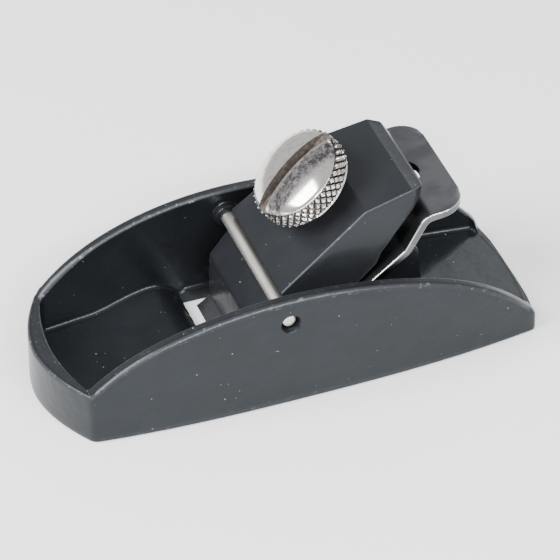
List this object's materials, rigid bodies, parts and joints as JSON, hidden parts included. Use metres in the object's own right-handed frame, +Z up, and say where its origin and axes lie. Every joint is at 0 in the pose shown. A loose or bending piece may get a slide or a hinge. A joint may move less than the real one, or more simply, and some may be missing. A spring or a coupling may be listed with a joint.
{
  "type": "palm-size trimming plane",
  "caption": "Small bevel-down trimming plane with arched cheeks, a slotted thumb screw, a lever cap, a cross pin and an S-bent cutter.",
  "frame": {"origin": "on the plane of the sole, under the middle of the body's length and width", "axes": "+X from toe to heel along the length, +Y across to the far cheek, +Z up from the sole"},
  "size_m": [0.0894, 0.035, 0.041],
  "materials": {
    "body_paint": "satin blue-grey enamel over a cast body, with dust and small chips",
    "pin_steel": "bright turned steel",
    "cap_paint": "satin dark grey enamel over a cast cap",
    "cutter_steel": "mid-grey ground steel with bright edges",
    "screw_nickel": "polished nickel plate with a knurled band"
  },
  "bodies": {
    "body": {"body_casting": "body_paint", "cross_pin": "pin_steel"},
    "lever_cap": {"lever_cap": "cap_paint"},
    "thumb_screw": {"thumb_screw": "screw_nickel"},
    "cutter": {"cutter": "cutter_steel"}
  },
  "joints": [
    {"name": "cap_rock", "type": "hinge", "parent": "body", "child": "lever_cap", "pos_m": [-0.0038, 0, 0.01736], "axis": [0, 1, 0], "range_deg": [0, 2.06]},
    {"name": "screw_turn", "type": "hinge", "parent": "lever_cap", "child": "thumb_screw", "pos_m": [0.00809, 0, 0.02944], "axis": [-0.6157, 0, 0.788], "range_deg": [0, 270]},
    {"name": "cutter_slide", "type": "slide", "parent": "body", "child": "cutter", "axis": [0.788, 0, 0.6157], "range_m": [-0.0006, 0.018]}
  ],
  "couplings": [
    {"joint": "cap_rock", "follows": "screw_turn", "ratio": 0.0074}
  ]
}
